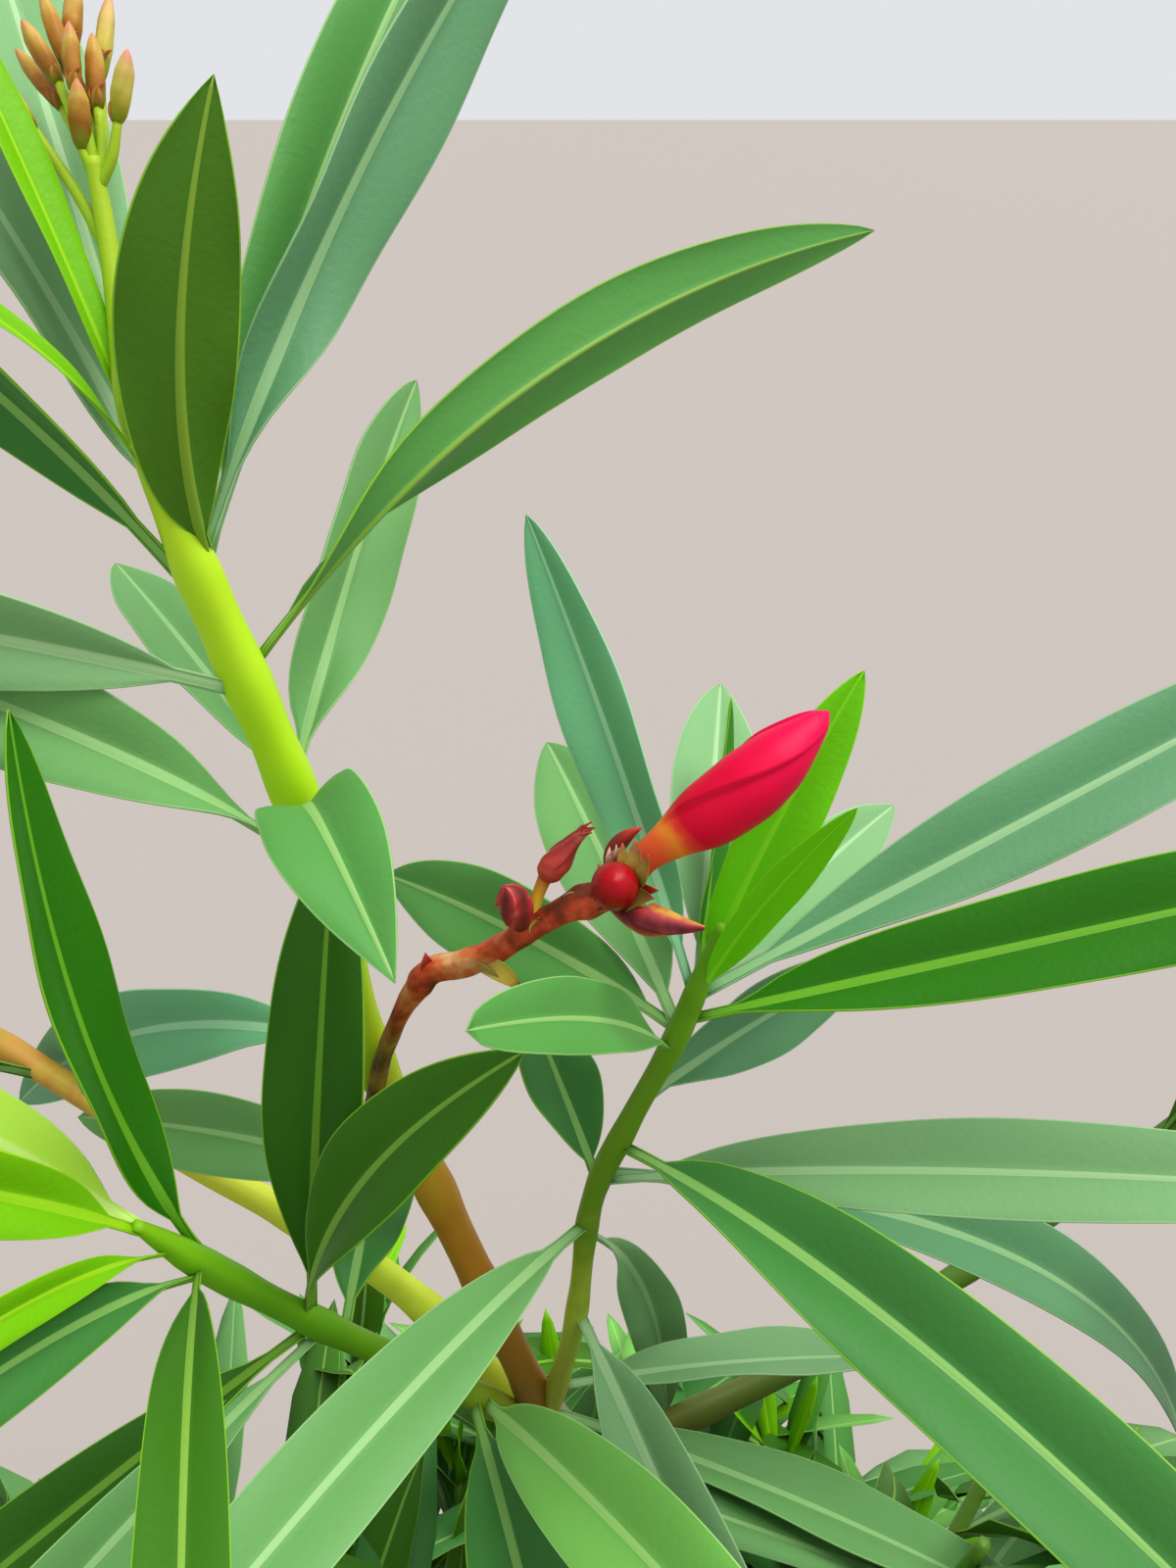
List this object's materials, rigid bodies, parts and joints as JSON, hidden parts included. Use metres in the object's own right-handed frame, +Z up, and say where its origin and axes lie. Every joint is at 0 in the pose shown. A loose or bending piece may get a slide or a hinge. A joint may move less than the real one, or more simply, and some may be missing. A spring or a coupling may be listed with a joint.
{
  "type": "potted oleander shrub",
  "caption": "Young oleander with narrow leaves and red flower buds, branching from a slim stem in a round clay pot.",
  "frame": {"origin": "centre of the pot's flat underside", "axes": "+Z up along the pot's axis; +Y away from the side that the flower buds face"},
  "size_m": [0.5052, 0.4379, 0.8744],
  "materials": {
    "clay": "unglazed terracotta, matte",
    "earth": "moist potting mix of composted bark",
    "bark": "young grey-brown bark with pores",
    "green_shoot": "smooth yellow-green young wood",
    "red_stalk": "smooth red-brown flower stalk",
    "leaf": "leathery green leaves with a pale midrib",
    "bud": "satin crimson petals, rolled in a bud",
    "young_bud": "yellow and pink young buds"
  },
  "bodies": {
    "root": {"pot": "clay", "soil": "earth", "trunk": "bark", "bough_left": "green_shoot", "bough_right": "green_shoot", "bough_near": "green_shoot", "bough_far_left": "green_shoot", "bough_far_right": "green_shoot", "bough_low_right": "bark", "bough_low_front": "bark", "bough_low_front_left": "bark", "bough_low_left": "bark", "bough_low_back_left": "bark", "bough_low_back": "bark", "bough_low_back_right": "bark", "bough_low_front_right": "bark", "flower_stalk": "red_stalk", "flower_buds": "bud", "top_buds": "young_bud", "leaves_left": "leaf", "leaves_right": "leaf", "leaves_near": "leaf", "leaves_far_left": "leaf", "leaves_far_right": "leaf", "leaves_low_right": "leaf", "leaves_low_front": "leaf", "leaves_low_front_left": "leaf", "leaves_low_left": "leaf", "leaves_low_back_left": "leaf", "leaves_low_back": "leaf", "leaves_low_back_right": "leaf", "leaves_low_front_right": "leaf"}
  },
  "joints": []
}
